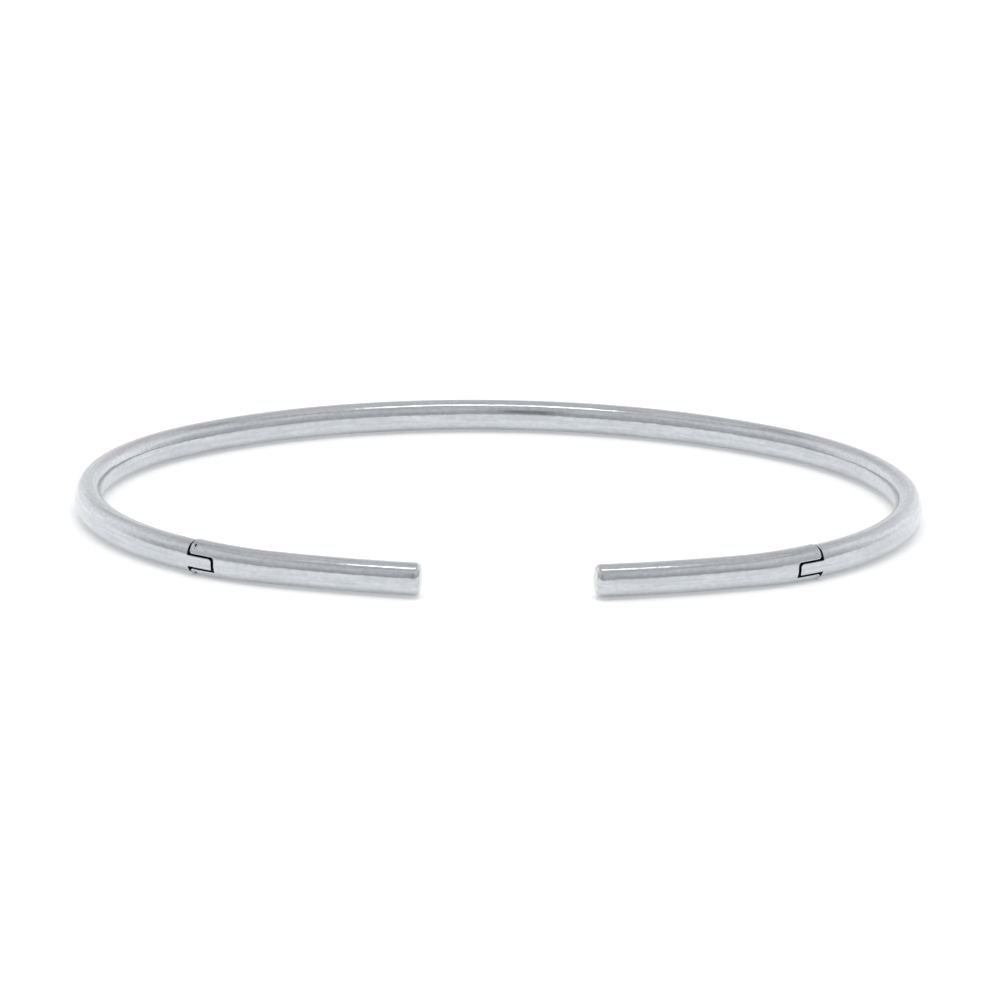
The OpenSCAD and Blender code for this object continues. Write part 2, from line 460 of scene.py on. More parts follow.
class Metal(Enum):
    """The finishes of the bangle's pieces."""

    # The last number of the polished silver is the strength of its painted mid-height shade.
    SILVER = Finish("polished_silver", (0.702, 0.727, 0.752), (0.528, 0.550, 0.576),
                    0.085, 0.10, 0.012, 0.14, 0.36)
    # Near-black finish painted on the faces inside the hinge and in the punch mark: painted shade
    # between the parts.
    PAINTED_SHADE = Finish("painted_shade_silver", (0.055, 0.052, 0.055), (0.020, 0.019, 0.022),
                     0.50, 0.20, 0.05, 0.0)
    RIVET = Finish("flush_pin_silver", (0.640, 0.642, 0.655), (0.560, 0.560, 0.570),
                   0.16, 0.12, 0.02, 0.0)
    STEEL = Finish("drawn_spring_steel", (0.560, 0.570, 0.590), (0.430, 0.435, 0.450),
                   0.24, 0.16, 0.03, 0.0)


# Each finish's material.
Metals = dict[Metal, bpy.types.Material]


def give(piece: Piece, metals: Metals, finishes: Sequence[Metal]) -> None:
    """Gives a piece its materials, in the order of its faces' indices.

    Args:
        piece: Object to dress.
        metals: Every finish's material.
        finishes: The piece's own finishes.
    """
    chosen = np.empty(len(piece.data.polygons), np.int32)
    piece.data.polygons.foreach_get("material_index", chosen)
    piece.data.materials.clear()
    for finish in finishes:
        piece.data.materials.append(metals[finish])
    piece.data.polygons.foreach_set("material_index", np.minimum(chosen, len(finishes) - 1))


@dataclass
class Wire:
    """The outline and the section together, with the grids that the pieces share."""

    outline: Outline = Outline()
    section: Section = Section()
    arcs: list[Arc] = field(init=False)

    def __post_init__(self) -> None:
        """Works out the arcs once."""
        self.arcs = self.outline.arcs()

    def seam_place(self, side: Side) -> Matrix:
        """Matrix from the right seam's frame to the model's frame, mirrored for the left side.

        The seam frame has x along the tip, y outwards and z up from the wire's middle.
        """
        turn = Matrix.Rotation(-self.outline.hinge_a, 4, "Z")
        mirror = Matrix.Diagonal((side.value, 1, 1, 1))
        return mirror @ Matrix.Translation(self.outline.hinge()) @ turn

    def straighten(self, points: Grid) -> Grid:
        """Finds where points are along, out from and above the centre line.

        On each arc, along = start + radius * (heading - first heading) and
        out = distance from the centre - radius; a point takes the arc that its heading falls in.

        Args:
            points: Points of the model, in millimetres, as rows.

        Returns:
            Rows of along, out and up, in millimetres.
        """
        x, y, z = np.abs(points[:, 0]), points[:, 1], points[:, 2] - self.outline.mid_z
        along, out, start = np.zeros_like(x), np.zeros_like(x), 0.0
        for arc in self.arcs:
            dx, dy = x - arc.centre[0], y - arc.centre[1]
            heading, off = np.arctan2(dx, dy), np.hypot(dx, dy) - arc.radius
            if arc is self.arcs[-1]:
                heading = np.where(heading < 0, heading + 2 * np.pi, heading)
            early, late, wide = ARC_SLACK
            near = (heading >= arc.start - early) & (heading <= arc.end + late)
            near &= np.abs(off) < wide
            along = np.where(near, start + arc.radius * (heading - arc.start), along)
            out = np.where(near, off, out)
            start += arc.length
        return np.stack([along * np.sign(points[:, 0] + 1e-9), out, z], -1)

    def mark_grain(self, piece: Piece) -> None:
        """Writes each vertex's straightened place, in millimetres, as the attribute grain."""
        mesh = piece.data
        points = np.empty(len(mesh.vertices) * 3, np.float32)
        mesh.vertices.foreach_get("co", points)
        rows = self.straighten(points.reshape(-1, 3) / MM)
        layer = mesh.attributes.new("grain", "FLOAT_VECTOR", "POINT")
        layer.data.foreach_set("vector", rows.astype(np.float32).ravel())

    def seam_y(self, x: Grid, out: Grid) -> Grid:
        """Seam-frame y at a station x: sqrt((radius + out)^2 - x^2) - radius."""
        radius = np.where(x < 0, self.outline.side_r, self.outline.bend_r)
        return np.sqrt((radius + out) ** 2 - x ** 2) - radius


@dataclass
class Band:
    """Drawn wire bent to three arcs, from one hinge block round the back to the other."""

    wire: Wire
    block_len: float = 3.0
    step: float = 0.3

    def build(self) -> Piece:
        """Carries the section along the three arcs and closes both ends.

        Returns:
            The band, riding on the bangle body.
        """
        wire, back, side = self.wire, self.wire.arcs[0], self.wire.arcs[1]
        end = side.end - self.block_len / side.radius
        angle = np.linspace(0, 2 * np.pi, AROUND + 1)
        out, up = wire.section.at_angle(angle)
        runs = []
        for arc, last in ((back, back.end), (side, end)):
            count = int(arc.radius * (last - arc.start) / self.step)
            heading = np.linspace(arc.start, last, count)[:, None]
            runs.append(carry(arc, heading, out, up, wire.outline.mid_z))
        half = np.concatenate([runs[0], runs[1][1:]])
        other = half[:0:-1] * [-1, 1, 1]
        tube = np.concatenate([other, half])
        tube[:, -1] = tube[:, 0]
        work = fill([tube, cap(tube[0]), cap(tube[-1])])
        piece = make_piece("band_wire", work, Matrix.Identity(4))
        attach(piece, "bangle")
        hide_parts("band")
        wire.mark_grain(piece)
        return piece

    def dress(self, piece: Piece, metals: Metals) -> None:
        """Polishes the band."""
        give(piece, metals, (Metal.SILVER,))


@dataclass(frozen=True)
class HingeSizes:
    """Sizes of the hinge, in the seam frame."""

    block_len: float = 3.0
    tongue_z0: float = -0.58
    tongue_z1: float = 0.28
    side_gap: float = 0.15
    seam_gap: float = 0.19
    stop_gap: float = 0.01
    stop_y: float = -0.45
    slot_len: float = 2.15
    corner_r: float = 0.28
    ear_corner: float = 0.22
    ear_half_h: float = 1.3
    wire_half_h: float = 1.2
    ear_round: float = 0.46
    ear_taper: float = 0.4
    pin_x: float = 0.36
    pin_y: float = 0.66
    pin_r: float = 0.16
    nose_x: float = 1.66
    nose_y: float = -0.30
    nose_z: float = -0.15
    nose_r: float = 0.36
    play: float = 0.02
    press_play: float = 0.008
    run_in: float = 0.3
    cam_rate: float = 0.65
    bore_end: float = 4.9
    ease: float = 0.03
    inner_share: float = 0.988
    inner_len: float = 2.6

    def cam(self) -> tuple[Grid, Grid]:
        """Outline of the tongue's end, which the plunger's nose rolls over.

        As the tip opens by t about the pin, the nose centre in the tongue's frame is
        c(t) = turn(nose - pin + (rate * t, 0), t). The outline is the curve at the distance
        nose radius + play from c(t), along the normal of the path of c.

        Returns:
            Rising y values and the x of the outline at each.
        """
        t = np.radians(np.linspace(-2, 42, 45))
        cx, cy = self.nose_x + self.cam_rate * t - self.pin_x, self.nose_y - self.pin_y
        dx, dy = self.cam_rate - cy, cx
        size = np.hypot(dx, dy)
        reach = self.nose_r + self.play
        px, py = cx - reach * dy / size, cy + reach * dx / size
        x = px * np.cos(t) - py * np.sin(t) + self.pin_x
        y = px * np.sin(t) + py * np.cos(t) + self.pin_y
        return (np.concatenate([[-2, -0.66, -0.30], y, [y[-1] + 2]]),
                np.concatenate([[0.95, 1.05, 1.18], x, [x[-1]]]))


@dataclass
class HingePart:
    """Base of the hinge's pieces, which are worked out in the seam frame."""

    wire: Wire
    side: Side
    sizes: HingeSizes = HingeSizes()
    # The second finish is the shade painted inside the hinge.
    finishes: tuple[Metal, ...] = (Metal.SILVER, Metal.PAINTED_SHADE)
    across: int = 16

    @property
    def tip(self) -> str:
        """Name of the body that swings on this side."""
        return f"{self.side.word}_tip"

    def dress(self, piece: Piece, metals: Metals) -> None:
        """Gives the piece its finishes, polished first and the near-black painted shade second."""
        give(piece, metals, self.finishes)

    def put(self, x: Grid, out: Grid, up: Grid) -> Grid:
        """Points of the seam frame at stations x, distances out and heights up."""
        x, out, up = np.broadcast_arrays(x, out, up)
        return np.stack([x, self.wire.seam_y(x, out), up], axis=-1)

    def sweep(self, heading: Grid, out: Grid, up: Grid, radius: float) -> Grid:
        """Points at headings past the seam, ((r + out) sin, (r + out) cos - r), in its frame."""
        heading, out, up = np.broadcast_arrays(heading, out, up)
        reach = radius + out
        return np.stack([reach * np.sin(heading), reach * np.cos(heading) - radius, up], axis=-1)

    def cutter(self, ring: Grid, start: Sequence[float], end: Sequence[float]) -> Piece:
        """Cutter from a closed ring of points, carried from one offset to another."""
        ring[-1] = ring[0]
        tube = np.stack([ring + start, ring + end])
        return stand_up("cutter", fill([tube, cap(tube[0], 2), cap(tube[1], 2)]))

    def bore(self, x0: float, x1: float, radius: float) -> Piece:
        """Round cutter along the plunger's axis, from x0 to x1."""
        h, a = self.sizes, np.linspace(0, 2 * np.pi, 49)
        ring = np.stack([a * 0, h.nose_y + radius * np.cos(a), h.nose_z + radius * np.sin(a)], -1)
        return self.cutter(ring, (x0, 0, 0), (x1, 0, 0))

    def pin_hole(self, radius: float) -> Piece:
        """Upright round cutter about the pin."""
        h, a = self.sizes, np.linspace(0, 2 * np.pi, 65)
        ring = np.stack([h.pin_x + radius * np.cos(a), h.pin_y + radius * np.sin(a), a * 0], -1)
        return self.cutter(ring, (0, 0, -3), (0, 0, 3))

    def join(self, name: str, work: bmesh.types.BMesh, body: str, node: str,
             slot: str = "silver", ease: float = 0.0, cutters: Sequence[Piece] = (),
             place: Matrix | None = None) -> Piece:
        """Makes a piece and says what it rides on and which node it stands for.

        Args:
            name: Name after the side's word.
            work: Welded mesh.
            body: Body that the piece moves with.
            node: Node that the piece stands for, after the side's word.
            slot: Material slot; not used.
            ease: Width of the easing.
            cutters: Bores to be taken away.
            place: Matrix to the model's frame where it isn't the seam's.

        Returns:
            The piece.
        """
        word = self.side.word
        piece = make_piece(f"{word}_{name}", work, place or self.wire.seam_place(self.side),
                           ease, cutters)
        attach(piece, body)
        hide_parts(f"{word}_{node}")
        self.wire.mark_grain(piece)
        return piece

    def mark_painted_shade(self, piece: Piece, half_h: Callable[[Grid], Grid]) -> None:
        """Paints shade on the faces inside the hinge by giving them the second, near-black
        material.

        A face is inside where |out / half_w|^power + |up / half_h|^power at its middle is less
        than inner_share, within inner_len of the seam.

        Args:
            piece: Finished piece with the attribute grain.
            half_h: Half height of the piece at distances past the seam.
        """
        mesh, sec = piece.data, self.wire.section
        along, out, up = self.wire.straighten(middles(mesh)).T
        past = np.abs(along) - sum(arc.length for arc in self.wire.arcs[:2])
        fill_share = (np.abs(out / sec.half_w) ** sec.power
                      + np.abs(up / half_h(past)) ** sec.power)
        inside = (fill_share < self.sizes.inner_share) & (np.abs(past) < self.sizes.inner_len)
        mesh.polygons.foreach_set("material_index", inside.astype(np.int32))


@dataclass
class HingeBlock(HingePart):
    """Block soldered to the band: shoulders for the ears, a stop and the tongue with its cam."""

    def shoulder_x(self, out: Grid) -> Grid:
        """Station of the shoulders: the wide gap outside, the close stop on the wrist side."""
        h = self.sizes
        return np.where(out < h.stop_y, -h.stop_gap, -h.seam_gap)

    def end_x(self, out: Grid) -> Grid:
        """Station of the tongue's end, found by repeating x = cam(y(x, out))."""
        ys, xs = self.sizes.cam()
        x = np.full(np.shape(out), 1.2)
        for _ in range(8):
            x = np.interp(self.wire.seam_y(x, out), ys, xs)
        return x

    def top_z(self, x: Grid) -> Grid:
        """Height of the tongue's top, with its outer corner rounded."""
        h = self.sizes
        last = float(h.cam()[1][-1])
        past = np.clip(x - (last - h.corner_r), 0, h.corner_r)
        return h.tongue_z1 - h.corner_r + np.sqrt(h.corner_r ** 2 - past ** 2)

    def rows(self) -> list[Grid]:
        """Angles of the outer side's rows: above, beside and below the tongue."""
        h, sec = self.sizes, self.wire.section
        a1, a0 = float(sec.angle_at(h.tongue_z1)), float(sec.angle_at(h.tongue_z0))
        upper = np.concatenate([np.linspace(np.pi / 2, a1 + 0.08, 14), [a1]])
        lower = np.concatenate([[a0], np.linspace(a0 - 0.08, -np.pi / 2, 12)])
        middle = np.concatenate([[a1], np.linspace(a1 - 0.07, a0 + 0.07, 10), [a0]])
        return [upper, middle, lower]

    def tongue_point(self, u: Grid, out: Grid, up: Grid) -> tuple[Grid, Grid]:
        """Station and height on the tongue: x between shoulder and end, z under the rounded top."""
        h = self.sizes
        start, end = self.shoulder_x(out), self.end_x(out)
        x = start + u * (end - start)
        share = (self.top_z(x) - h.tongue_z0) / (h.tongue_z1 - h.tongue_z0)
        return x, h.tongue_z0 + (up - h.tongue_z0) * share

    def tongue_patches(self, middle: Grid) -> list[Grid]:
        """Grids of the tongue: its two sides, top, bottom and cam end.

        Args:
            middle: Angles of the rows beside the tongue.

        Returns:
            The grids, in the seam frame.
        """
        sec, h = self.wire.section, self.sizes
        u = np.concatenate([[0, 0.04], np.linspace(0.08, 0.84, 20),
                            np.linspace(0.86, 0.975, 9), [1]])
        patches, edges = [], {}
        for sign in (1, -1):
            rest = sec.at_angle(middle)[1][None]
            out = sign * sec.half_width(rest) * np.ones((len(u), 1))
            for _ in range(4):
                x, z = self.tongue_point(u[:, None], out, rest)
                out = sign * sec.half_width(z)
            patches.append(self.put(x, out, z))
            edges[sign] = (x, out, z)
        t = np.linspace(-1, 1, self.across + 1)
        for row, rest in ((0, h.tongue_z1), (-1, h.tongue_z0)):
            o, i = edges[1][1][:, row], edges[-1][1][:, row]
            out = i[:, None] + (o - i)[:, None] * (t + 1) / 2
            x, z = self.tongue_point(u[:, None], out, np.full_like(out, rest))
            patches.append(self.put(x, out, z))
        o, i = edges[1][1][-1], edges[-1][1][-1]
        out = i[:, None] + (o - i)[:, None] * (t + 1) / 2
        x, z = self.tongue_point(np.ones_like(out), out,
                                 np.broadcast_to(sec.at_angle(middle)[1][:, None], out.shape))
        patches.append(self.put(x, out, z))
        return patches

    def shoulder_patches(self, rows: Sequence[Grid]) -> list[Grid]:
        """Grids behind the seam: the wire's sides, the shoulders and the soldered end."""
        sec, h = self.wire.section, self.sizes
        radius = self.wire.outline.side_r
        first = -h.block_len / radius
        t = np.concatenate([np.linspace(0, 0.97, 18), [1]])[:, None]
        patches, ends = [], []
        for angle in rows:
            out, up = sec.at_angle(angle)
            for sign in (1, -1):
                last = np.arcsin(self.shoulder_x(sign * out) / (radius + sign * out))
                patches.append(self.sweep(first + t * (last - first), sign * out, up, radius))
            ends.append((out, up))
        whole_out = np.concatenate([ends[0][0], ends[1][0][1:], ends[2][0][1:]])
        whole_up = np.concatenate([ends[0][1], ends[1][1][1:], ends[2][1][1:]])
        ring_out = np.concatenate([whole_out, -whole_out[-2::-1]])
        ring_up = np.concatenate([whole_up, whole_up[-2::-1]])
        patches.append(cap(self.sweep(np.full_like(ring_out, first), ring_out, ring_up, radius)))
        t = np.linspace(-1, 1, self.across + 1)
        for (out, up), edge in ((ends[0], -1), (ends[2], 0)):
            flat_out, flat_up = out[edge] * t, np.full_like(t, up[edge])
            ring_out = np.concatenate([out if edge else out[::-1], flat_out[::-1][1:],
                                       (-out[::-1] if edge else -out)[1:]])
            ring_up = np.concatenate([up if edge else up[::-1], flat_up[1:],
                                      (up[::-1] if edge else up)[1:]])
            patches.append(cap(self.put(self.shoulder_x(ring_out), ring_out, ring_up), 5))
        return patches

    def build(self) -> Piece:
        """Joins the block's grids, eases its edges and bores the tongue for the pin.

        Returns:
            The block, riding on the bangle body.
        """
        rows = self.rows()
        work = fill(self.shoulder_patches(rows) + self.tongue_patches(rows[1]))
        ease_edges(work, lambda p: p.x > -1.5)
        h = self.sizes
        piece = self.join("block", work, "bangle", "hinge_block", ease=h.ease,
                          cutters=[self.pin_hole(h.pin_r + h.play)])
        # Painted shade on the block's faces inside the hinge.
        self.mark_painted_shade(piece, lambda past: np.full_like(past, h.wire_half_h))
        return piece


@dataclass
class Fork(HingePart):
    """Forked piece with two ears on the tongue, bored for the pin and for the plunger."""

    def half_h(self, x: Grid) -> Grid:
        """Half height of the fork, which falls evenly from the ears to the tip bar."""
        h = self.sizes
        return h.ear_half_h + (h.wire_half_h - h.ear_half_h) * x / self.wire.outline.fork_len

    def front(self, x: Grid, out: Grid) -> Grid:
        """Moves stations back where the ear ends are rounded about the pin.

        start = pin x - sqrt(round^2 - off^2), fading out over the taper's length.
        """
        h = self.sizes
        off = np.clip(out - h.pin_y, 0, h.ear_round)
        start = np.clip(h.pin_x - np.sqrt(h.ear_round ** 2 - off ** 2), 0, None)
        return x + start * np.clip(1 - x / h.ear_taper, 0, 1)

    def slot_edges(self) -> tuple[Grid, Grid, Grid]:
        """Stations along the ears and the heights of the slot's upper and lower edge at each.

        Round corners follow quarter circles: x = r (1 - cos p), z = edge + r (1 - sin p).
        """
        h = self.sizes
        p = np.linspace(0, np.pi / 2, 7)
        near = h.ear_corner * (1 - np.cos(p))
        far = h.slot_len - h.corner_r * (1 - np.sin(p))
        x = np.concatenate([near, np.linspace(near[-1], far[0], 14)[1:-1], far])
        lift, drop = h.ear_corner * (1 - np.sin(p)), h.corner_r * (1 - np.cos(p))
        level = np.zeros(len(x) - 14)
        z1, z0 = h.tongue_z1 + h.side_gap, h.tongue_z0 - h.side_gap
        upper = z1 + np.concatenate([lift, level, -drop])
        lower = z0 - np.concatenate([lift, level, 0 * drop])
        return x, upper, lower

    def ear_patches(self, x: Grid, edge: Grid, pole: float
                    ) -> tuple[list[Grid], tuple[Grid, Grid]]:
        """Grids of one ear: outer side, inner side, slot face and end face.

        Args:
            x: Stations along the ear.
            edge: Height of the slot's edge at each station.
            pole: A quarter turn for the upper ear, minus a quarter turn for the lower one.

        Returns:
            The grids and the last station's out and up rows.
        """
        sec, tall = self.wire.section, self.half_h(x)
        last = sec.angle_at(edge, tall)
        t = np.concatenate([np.linspace(0, 0.93, 13), [1]])
        angle = pole + (last - pole)[:, None] * t
        out, up = sec.at_angle(angle, tall[:, None])
        up[:, -1], out[:, -1] = edge, sec.half_width(edge, tall)
        patches = [self.put(self.front(x[:, None], s * out), s * out, up) for s in (1, -1)]
        k = np.linspace(-1, 1, self.across + 1)
        flat = out[:, -1:] * k
        patches.append(self.put(self.front(x[:, None], flat), flat, edge[:, None]))
        ring_out = np.concatenate([out[0], flat[0][::-1][1:], -out[0][::-1][1:]])
        ring_up = np.concatenate([up[0], np.full(self.across, edge[0]), up[0][::-1][1:]])
        patches.append(cap(self.put(self.front(0 * ring_out, ring_out), ring_out, ring_up), 5))
        return patches, (out[-1], up[-1])

    def body_patches(self, upper: tuple[Grid, Grid], lower: tuple[Grid, Grid]) -> list[Grid]:
        """Grids behind the slot: the slot's end wall, the body's sides and its far end.

        Args:
            upper: Out and up rows of the upper ear at the slot's end.
            lower: The same for the lower ear.

        Returns:
            The grids, in the seam frame.
        """
        sec, h, line = self.wire.section, self.sizes, self.wire.outline
        radius = line.bend_r
        z1, z0 = upper[1][-1], lower[1][-1]
        tall0 = float(self.half_h(np.array(h.slot_len)))
        t = np.concatenate([[0, 0.03], np.linspace(0.06, 1, 24)])[:, None]
        heights = np.linspace(z1, z0, 9)
        patches, ring_out, ring_up = [], [], []
        last = h.slot_len + t * (line.fork_len - h.slot_len)
        tall = self.half_h(last)
        share = np.concatenate([np.linspace(0, 0.93, 13), [1]])
        level = np.ones_like(tall)
        top, low = sec.angle_at(z1 * level, tall), sec.angle_at(z0 * level, tall)
        above = np.pi / 2 + (top - np.pi / 2) * share
        beside = sec.angle_at(heights[None] * level, tall)
        below = (-np.pi / 2 + (low + np.pi / 2) * share)[:, ::-1]
        for angle in (above, beside, below):
            out, up = sec.at_angle(angle, tall)
            for sign in (1, -1):
                first = np.arcsin(h.slot_len / (radius + sign * out))
                heading = first + t * (line.fork_len / radius - first)
                patches.append(self.sweep(heading, sign * out, up, radius))
            ring_out.append(out[-1])
            ring_up.append(up[-1])
        k = np.linspace(-1, 1, self.across + 1)
        wall = sec.half_width(heights, tall0)[:, None] * k
        patches.append(self.put(np.full_like(wall, h.slot_len), wall, heights[:, None]))
        out = np.concatenate([ring_out[0], ring_out[1][1:], ring_out[2][1:]])
        up = np.concatenate([ring_up[0], ring_up[1][1:], ring_up[2][1:]])
        ring = self.sweep(np.full(2 * len(out) - 1, line.fork_len / radius),
                          np.concatenate([out, -out[-2::-1]]), np.concatenate([up, up[-2::-1]]),
                          radius)
        patches.append(cap(ring))
        return patches

    def build(self) -> Piece:
        """Joins the fork's grids, eases its edges and bores it.

        Returns:
            The fork, riding on its tip's body.
        """
        h = self.sizes
        x, top_edge, low_edge = self.slot_edges()
        above, upper = self.ear_patches(x, top_edge, np.pi / 2)
        below, lower = self.ear_patches(x, low_edge, -np.pi / 2)
        work = fill(above + below + self.body_patches(upper, lower))
        ease_edges(work, lambda p: p.x < 4)
        cutters = [self.pin_hole(h.pin_r + h.press_play),
                   self.bore(h.slot_len - h.run_in, h.bore_end, h.nose_r + h.play)]
        piece = self.join("forked_end", work, self.tip, "fork", ease=h.ease, cutters=cutters)
        # Painted shade on the fork's faces inside the hinge.
        self.mark_painted_shade(piece, self.half_h)
        return piece


@dataclass
class TipBar(HingePart):
    """Straighter bar soldered to the fork, with a flat free end and a rounded rim."""

    finishes: tuple[Metal, ...] = (Metal.SILVER,)

    def build(self) -> Piece:
        """Carries the section along the bar's arc and rolls it over at the free end.

        On the rim, with p from 0 to a quarter turn, the section shrinks by r (1 - cos p) all
        round while it moves on by r sin p.

        Returns:
            The bar, riding on its tip's body.
        """
        wire, arc, line = self.wire, self.wire.arcs[3], self.wire.outline
        angle = np.linspace(0, 2 * np.pi, AROUND + 1)
        out, up = wire.section.at_angle(angle)
        heading = np.linspace(arc.start, arc.end, 40)[:, None]
        tube = carry(arc, heading, out, up, line.mid_z)
        p = np.linspace(0, np.pi / 2, 12)[1:, None]
        shrink, on = line.end_round * (1 - np.cos(p)), line.end_round * np.sin(p)
        rim = carry(arc, np.full_like(p, arc.end), out * (1 - shrink / line.half_w),
                    up * (1 - shrink / wire.section.half_h), line.mid_z)
        rim += on[..., None] * np.array([math.cos(arc.end), -math.sin(arc.end), 0])
        tube = np.concatenate([tube, rim])
        tube[:, -1] = tube[:, 0]
        work = fill([tube, cap(tube[0]), cap(tube[-1], 10)])
        mirror = Matrix.Diagonal((self.side.value, 1, 1, 1))
        return self.join("bar", work, self.tip, "tip_bar", place=mirror)


@dataclass
class HingePin(HingePart):
    """Pin riveted through both ears, polished flush; the left one has a small punch mark, its
    hollow painted with shade.
    """

    finishes: tuple[Metal, ...] = (Metal.RIVET, Metal.PAINTED_SHADE)
    dimple_r: float = 0.11
    dimple_depth: float = 0.09

    def build(self) -> Piece:
        """Makes the pin from two polar grids on the ears' surface and a side between them.

        The end height at a point is the ear's own surface height less
        depth * cos^2(quarter turn * min(1, r / dimple radius)).

        Returns:
            The pin, riding on its tip's body.
        """
        h, sec = self.sizes, self.wire.section
        rest = np.linspace(self.dimple_r + 0.015, h.pin_r, 4)
        r = np.concatenate([np.linspace(0, self.dimple_r, 7), rest])[:, None]
        a = np.linspace(0, 2 * np.pi, 49)[None]
        x, y = h.pin_x + r * np.cos(a), h.pin_y + r * np.sin(a)
        radius = self.wire.outline.bend_r
        out = np.hypot(radius + y, x) - radius
        tall = h.ear_half_h + (h.wire_half_h - h.ear_half_h) * x / self.wire.outline.fork_len
        top = tall * (1 - np.abs(out) ** sec.power) ** (1 / sec.power)
        depth = self.dimple_depth if self.side is Side.LEFT else 0.0
        dip = depth * np.cos(np.pi / 2 * np.clip(r / self.dimple_r, 0, 1)) ** 2
        ends = [np.stack([x + 0 * a, y, sign * (top - dip)], -1) for sign in (1, -1)]
        for end in ends:
            end[:, -1] = end[:, 0]
            end[0] = end[0, :1]
        work = fill(ends + [np.stack([ends[0][-1], ends[1][-1]])])
        # The punch mark's faces, and the pin's side inside the bore, take the second material:
        # painted shade.
        for face in work.faces:
            off = (face.calc_center_median() - Vector((h.pin_x, h.pin_y, 0.0))).xy.length
            punched = depth > 0 and off < self.dimple_r * 0.8
            face.material_index = int(punched or off > h.pin_r - 0.002)
        return self.join("rivet", work, self.tip, "hinge_pin", "pin_metal")


@dataclass
class Plunger(HingePart):
    """Round-nosed plunger that presses on the cam, with a spigot inside the spring."""

    finishes: tuple[Metal, ...] = (Metal.STEEL,)
    body_len: float = 1.3
    spigot_r: float = 0.14
    spigot_len: float = 0.5
    chamfer: float = 0.03

    def build(self) -> Piece:
        """Turns the plunger's profile about its axis.

        Returns:
            The plunger, riding on its own body.
        """
        h = self.sizes
        p = np.linspace(0, np.pi / 2, 14)
        far = self.body_len + self.spigot_len
        r, body, edge = self.spigot_r, self.body_len, self.chamfer
        reach = np.concatenate([h.nose_r * np.sin(p), [h.nose_r] * 7,
                                [h.nose_r - edge, r, r, r - edge, 0]])
        along = np.concatenate([-h.nose_r * np.cos(p), np.linspace(0.1, body - edge, 7),
                                [body, body, far - edge, far, far]])
        a = np.linspace(0, 2 * np.pi, 49)
        grid = np.stack([h.nose_x + along[:, None] + 0 * a,
                         h.nose_y + reach[:, None] * np.cos(a),
                         h.nose_z + reach[:, None] * np.sin(a)], -1)
        grid[:, -1] = grid[:, 0]
        work = fill([grid])
        return self.join("nose", work, f"{self.side.word}_cam_plunger", "plunger", "steel")


@dataclass
class Spring(HingePart):
    """Compression spring of round wire in the fork's bore, between the plunger and its end."""

    finishes: tuple[Metal, ...] = (Metal.STEEL,)
    turns: int = 6
    thickness: float = 0.12
    clearance: float = 0.01
    plunger_len: float = 1.3
    swing: float = math.radians(40)

    def build(self) -> Piece:
        """Carries a round section along a helix.

        At the share t of the length and the angle b round the section, with the coil at the
        angle a = turns * t: distance from the axis = mean + r cos b, and
        x = first + (last - first) t + r sin b.

        Returns:
            The spring, riding on its tip's body.
        """
        h, r = self.sizes, self.thickness / 2
        back = h.nose_x + self.plunger_len
        first, last = back + r + self.clearance, h.bore_end - r - self.clearance
        t = np.linspace(0, 1, 24 * self.turns + 1)[:, None]
        a, b = 2 * np.pi * self.turns * t, np.linspace(0, 2 * np.pi, 11)
        off = h.nose_r - self.clearance - r + r * np.cos(b)
        grid = np.stack([first + (last - first) * t + r * np.sin(b),
                         h.nose_y + off * np.cos(a), h.nose_z + off * np.sin(a)], -1)
        grid[:, -1] = grid[:, 0]
        work = fill([grid, cap(grid[0], 3), cap(grid[-1], 3)])
        piece = self.join("coil", work, self.tip, "spring", "steel")
        place = self.wire.seam_place(self.side)
        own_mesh(piece)
        return piece


@dataclass(frozen=True)
class SoftBox:
    """A rectangular studio lamp aimed at the bangle."""

    name: str
    place: tuple[float, float, float]
    size: tuple[float, float]
    radiance: float
    in_metal: bool = True

    def build(self) -> Piece:
        """Makes the lamp; its power is radiance * pi * area."""
        lamp = bpy.data.lights.new(self.name, "AREA")
        lamp.shape, lamp.size, lamp.size_y = "RECTANGLE", self.size[0], self.size[1]
        lamp.energy = self.radiance * math.pi * self.size[0] * self.size[1]
        holder = bpy.data.objects.new(self.name, lamp)
        holder.location = self.place
        holder.rotation_mode = "QUATERNION"
        holder.rotation_quaternion = Vector(self.place).to_track_quat("Z", "Y")
        holder.visible_glossy = self.in_metal
        bpy.context.scene.collection.objects.link(holder)
        return holder


